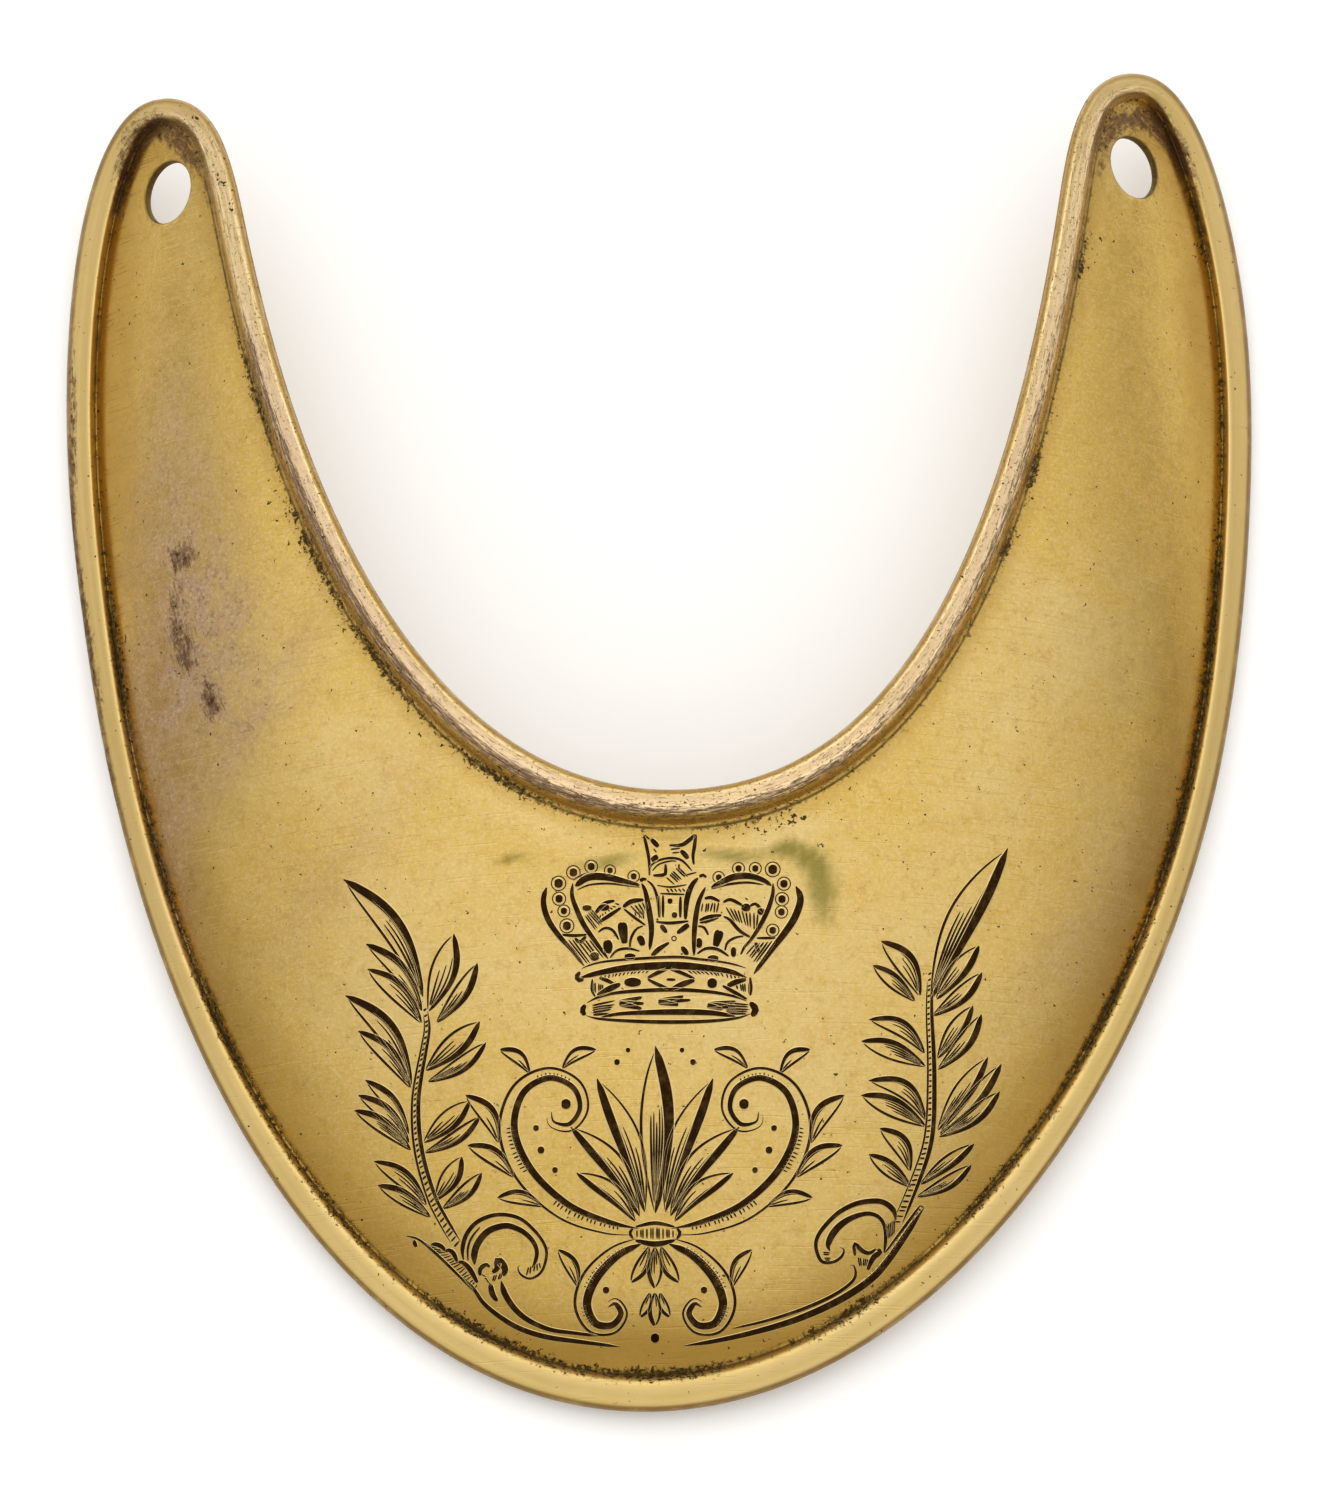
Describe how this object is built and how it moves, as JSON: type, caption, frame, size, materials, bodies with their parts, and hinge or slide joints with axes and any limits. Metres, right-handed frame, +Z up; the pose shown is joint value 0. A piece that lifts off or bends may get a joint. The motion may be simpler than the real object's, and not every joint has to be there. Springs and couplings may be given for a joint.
{
  "type": "gilt gorget",
  "caption": "Crescent neck plate of gilt copper, bent to the neck, with a rolled rim and a lace hole in each horn.",
  "frame": {"origin": "On the surface that the gorget lies on, under the middle of its box.", "axes": "+Z up, out of the surface; +Y towards the horns, along the gorget's height; +X across it, towards the horn on the right of the front view."},
  "size_m": [0.1088, 0.1232, 0.0223],
  "materials": {
    "gilt_copper": "fire-gilt copper, worn and lightly tarnished"
  },
  "bodies": {
    "root": {"gorget_plate": "gilt_copper"}
  },
  "joints": []
}
